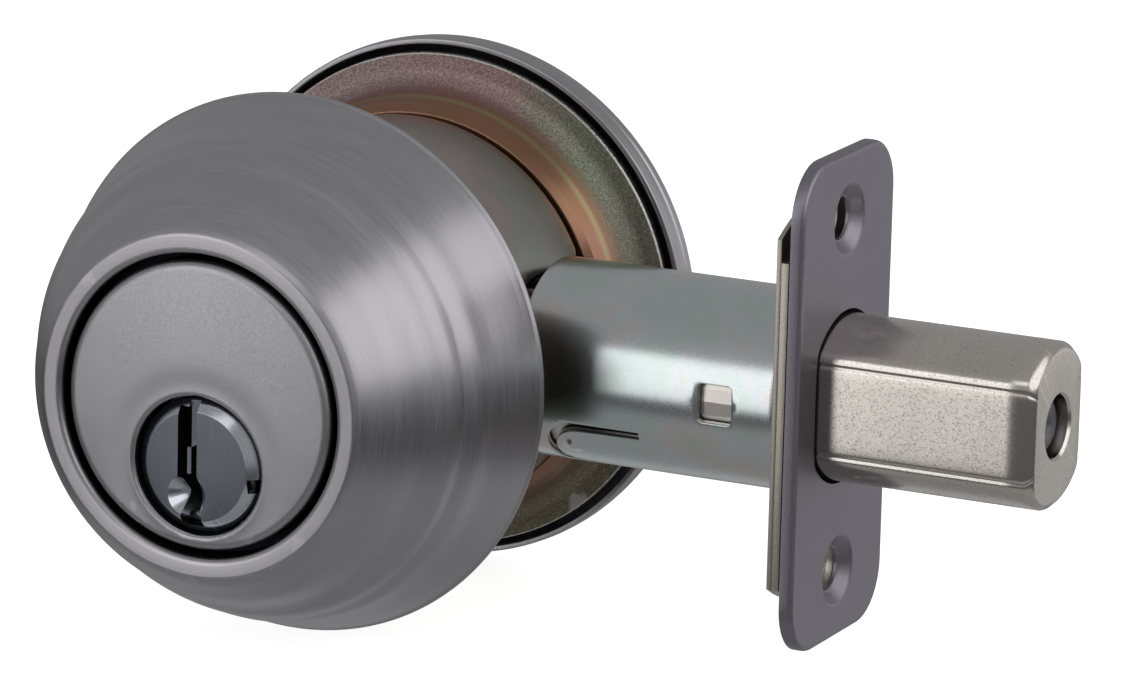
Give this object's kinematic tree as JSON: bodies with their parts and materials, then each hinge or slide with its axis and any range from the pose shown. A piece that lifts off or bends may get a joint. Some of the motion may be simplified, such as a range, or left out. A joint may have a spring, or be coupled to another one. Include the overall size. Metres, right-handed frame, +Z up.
{
  "type": "deadbolt door lock",
  "caption": "Single-cylinder deadbolt lock: keyed cylinder in a tapered free-spinning guard, thumbturn rose, and a tubular bolt thrown through a rounded faceplate.",
  "frame": {"origin": "where the axis of the door's cross bore meets the bolt axis, in the middle of the door", "axes": "+X the way the bolt is thrown, +Y through the door from the keyed side to the thumbturn side, +Z up"},
  "size_m": [0.1184, 0.088, 0.0634],
  "materials": {
    "satin_nickel": "satin nickel, brushed round its axis",
    "cylinder_nickel": "satin nickel, finely brushed",
    "plug_nickel": "nickel plate, brushed face and polished chamfer",
    "faceplate_nickel": "satin nickel with a fine grain",
    "bolt_nickel": "satin nickel over a grained surface",
    "blue_zinc": "bright zinc with a blue-green passivate",
    "yellow_zinc": "zinc with an iridescent yellow dichromate",
    "sleeve_zinc": "smooth zinc with a faint iridescent dichromate",
    "brass": "plain turned brass",
    "spring_steel": "bright spring and roller steel",
    "dark_steel": "oiled steel",
    "nylon": "natural nylon"
  },
  "bodies": {
    "root": {"guard_sleeve": "sleeve_zinc", "cylinder_housing": "cylinder_nickel", "chamber_cover": "brass", "mounting_plate": "yellow_zinc", "rose": "satin_nickel", "mounting_screw_left": "blue_zinc", "mounting_screw_right": "blue_zinc", "rose_screw_left": "satin_nickel", "rose_screw_right": "satin_nickel", "thumbturn_washer": "nylon", "faceplate": "faceplate_nickel", "backplate": "bolt_nickel", "bolt_tube": "blue_zinc", "inner_case_outside": "yellow_zinc", "inner_case_inside": "yellow_zinc", "case_rivet_1": "blue_zinc", "case_rivet_2": "blue_zinc", "driver_pin_1": "brass", "pin_spring_1": "spring_steel", "driver_pin_2": "brass", "pin_spring_2": "spring_steel", "driver_pin_3": "brass", "pin_spring_3": "spring_steel", "driver_pin_4": "brass", "pin_spring_4": "spring_steel", "driver_pin_5": "brass", "pin_spring_5": "spring_steel"},
    "guard": {"cylinder_guard": "satin_nickel"},
    "plug": {"plug": "plug_nickel", "plug_clip": "spring_steel", "plug_cap": "brass", "key_pin_1": "brass", "key_pin_2": "brass", "key_pin_3": "brass", "key_pin_4": "brass", "key_pin_5": "brass"},
    "thumbturn": {"thumbturn": "satin_nickel", "thumbturn_clip": "spring_steel"},
    "tailpiece": {"tailpiece": "dark_steel"},
    "crank": {"crank": "dark_steel"},
    "bolt": {"bolt": "bolt_nickel", "bolt_tail": "dark_steel", "tail_rivet": "blue_zinc"},
    "roller": {"hardened_roller": "spring_steel"}
  },
  "joints": [
    {"name": "guard_spin", "type": "hinge", "parent": "root", "child": "guard", "pos_m": [0, -0.031, 0], "axis": [0, 1, 0], "continuous": true},
    {"name": "plug_turn", "type": "hinge", "parent": "root", "child": "plug", "pos_m": [0, -0.03, -0.0069], "axis": [0, 1, 0], "range_deg": [-90, 90]},
    {"name": "thumbturn_turn", "type": "hinge", "parent": "root", "child": "thumbturn", "pos_m": [0, 0.03, -0.0069], "axis": [0, 1, 0], "range_deg": [-90, 0]},
    {"name": "tailpiece_turn", "type": "hinge", "parent": "root", "child": "tailpiece", "pos_m": [0, 0, -0.0069], "axis": [0, 1, 0], "range_deg": [-90, 0]},
    {"name": "crank_turn", "type": "hinge", "parent": "root", "child": "crank", "pos_m": [0, 0, -0.0069], "axis": [0, 1, 0], "range_deg": [-90, 0]},
    {"name": "bolt_throw", "type": "slide", "parent": "root", "child": "bolt", "axis": [1, 0, 0], "range_m": [-0.0254, 0]},
    {"name": "roller_spin", "type": "hinge", "parent": "bolt", "child": "roller", "pos_m": [0.07, 0, 0], "axis": [1, 0, 0], "continuous": true}
  ],
  "couplings": [
    {"joint": "thumbturn_turn", "follows": "bolt_throw", "rad_per_m": 61.842},
    {"joint": "tailpiece_turn", "follows": "bolt_throw", "rad_per_m": 61.842},
    {"joint": "crank_turn", "follows": "bolt_throw", "rad_per_m": 61.842}
  ]
}
